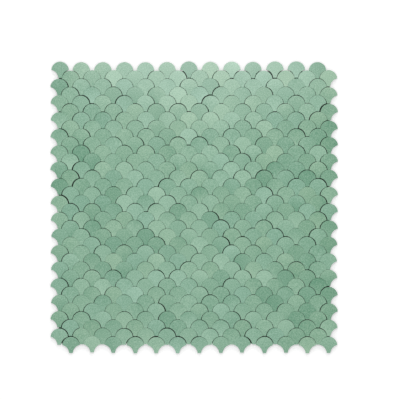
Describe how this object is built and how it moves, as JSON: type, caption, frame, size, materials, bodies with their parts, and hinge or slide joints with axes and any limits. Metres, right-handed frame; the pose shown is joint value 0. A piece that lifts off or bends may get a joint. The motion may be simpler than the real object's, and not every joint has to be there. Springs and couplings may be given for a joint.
{
  "type": "self-adhesive mosaic tile",
  "caption": "Flat self-adhesive mosaic sheet of satin green fish-scale chips in offset rows, with scalloped edges that nest into the next sheet.",
  "frame": {"origin": "centre of the sheet's outline, on the underside of the release liner", "axes": "+Z out of the green face, +Y towards the round ends of the scales, +X to the right when the green face is seen with the round ends up"},
  "size_m": [0.2962, 0.3006, 0.004],
  "materials": {
    "green_scale": "satin",
    "black_adhesive": "matte",
    "liner_paper": "satin"
  },
  "bodies": {
    "root": {"scale_row_01": "green_scale", "scale_row_02": "green_scale", "scale_row_03": "green_scale", "scale_row_04": "green_scale", "scale_row_05": "green_scale", "scale_row_06": "green_scale", "scale_row_07": "green_scale", "scale_row_08": "green_scale", "scale_row_09": "green_scale", "scale_row_10": "green_scale", "scale_row_11": "green_scale", "scale_row_12": "green_scale", "scale_row_13": "green_scale", "scale_row_14": "green_scale", "scale_row_15": "green_scale", "scale_row_16": "green_scale", "scale_row_17": "green_scale", "scale_row_18": "green_scale", "scale_row_19": "green_scale", "scale_row_20": "green_scale", "scale_row_21": "green_scale", "scale_row_22": "green_scale", "scale_row_23": "green_scale", "scale_row_24": "green_scale", "scale_row_25": "green_scale", "scale_row_26": "green_scale", "scale_row_27": "green_scale", "scale_row_28": "green_scale", "scale_row_29": "green_scale", "scale_row_30": "green_scale", "scale_row_31": "green_scale", "scale_row_32": "green_scale", "scale_row_33": "green_scale", "scale_row_34": "green_scale", "adhesive_backing": "black_adhesive", "release_liner": "liner_paper"}
  },
  "joints": []
}
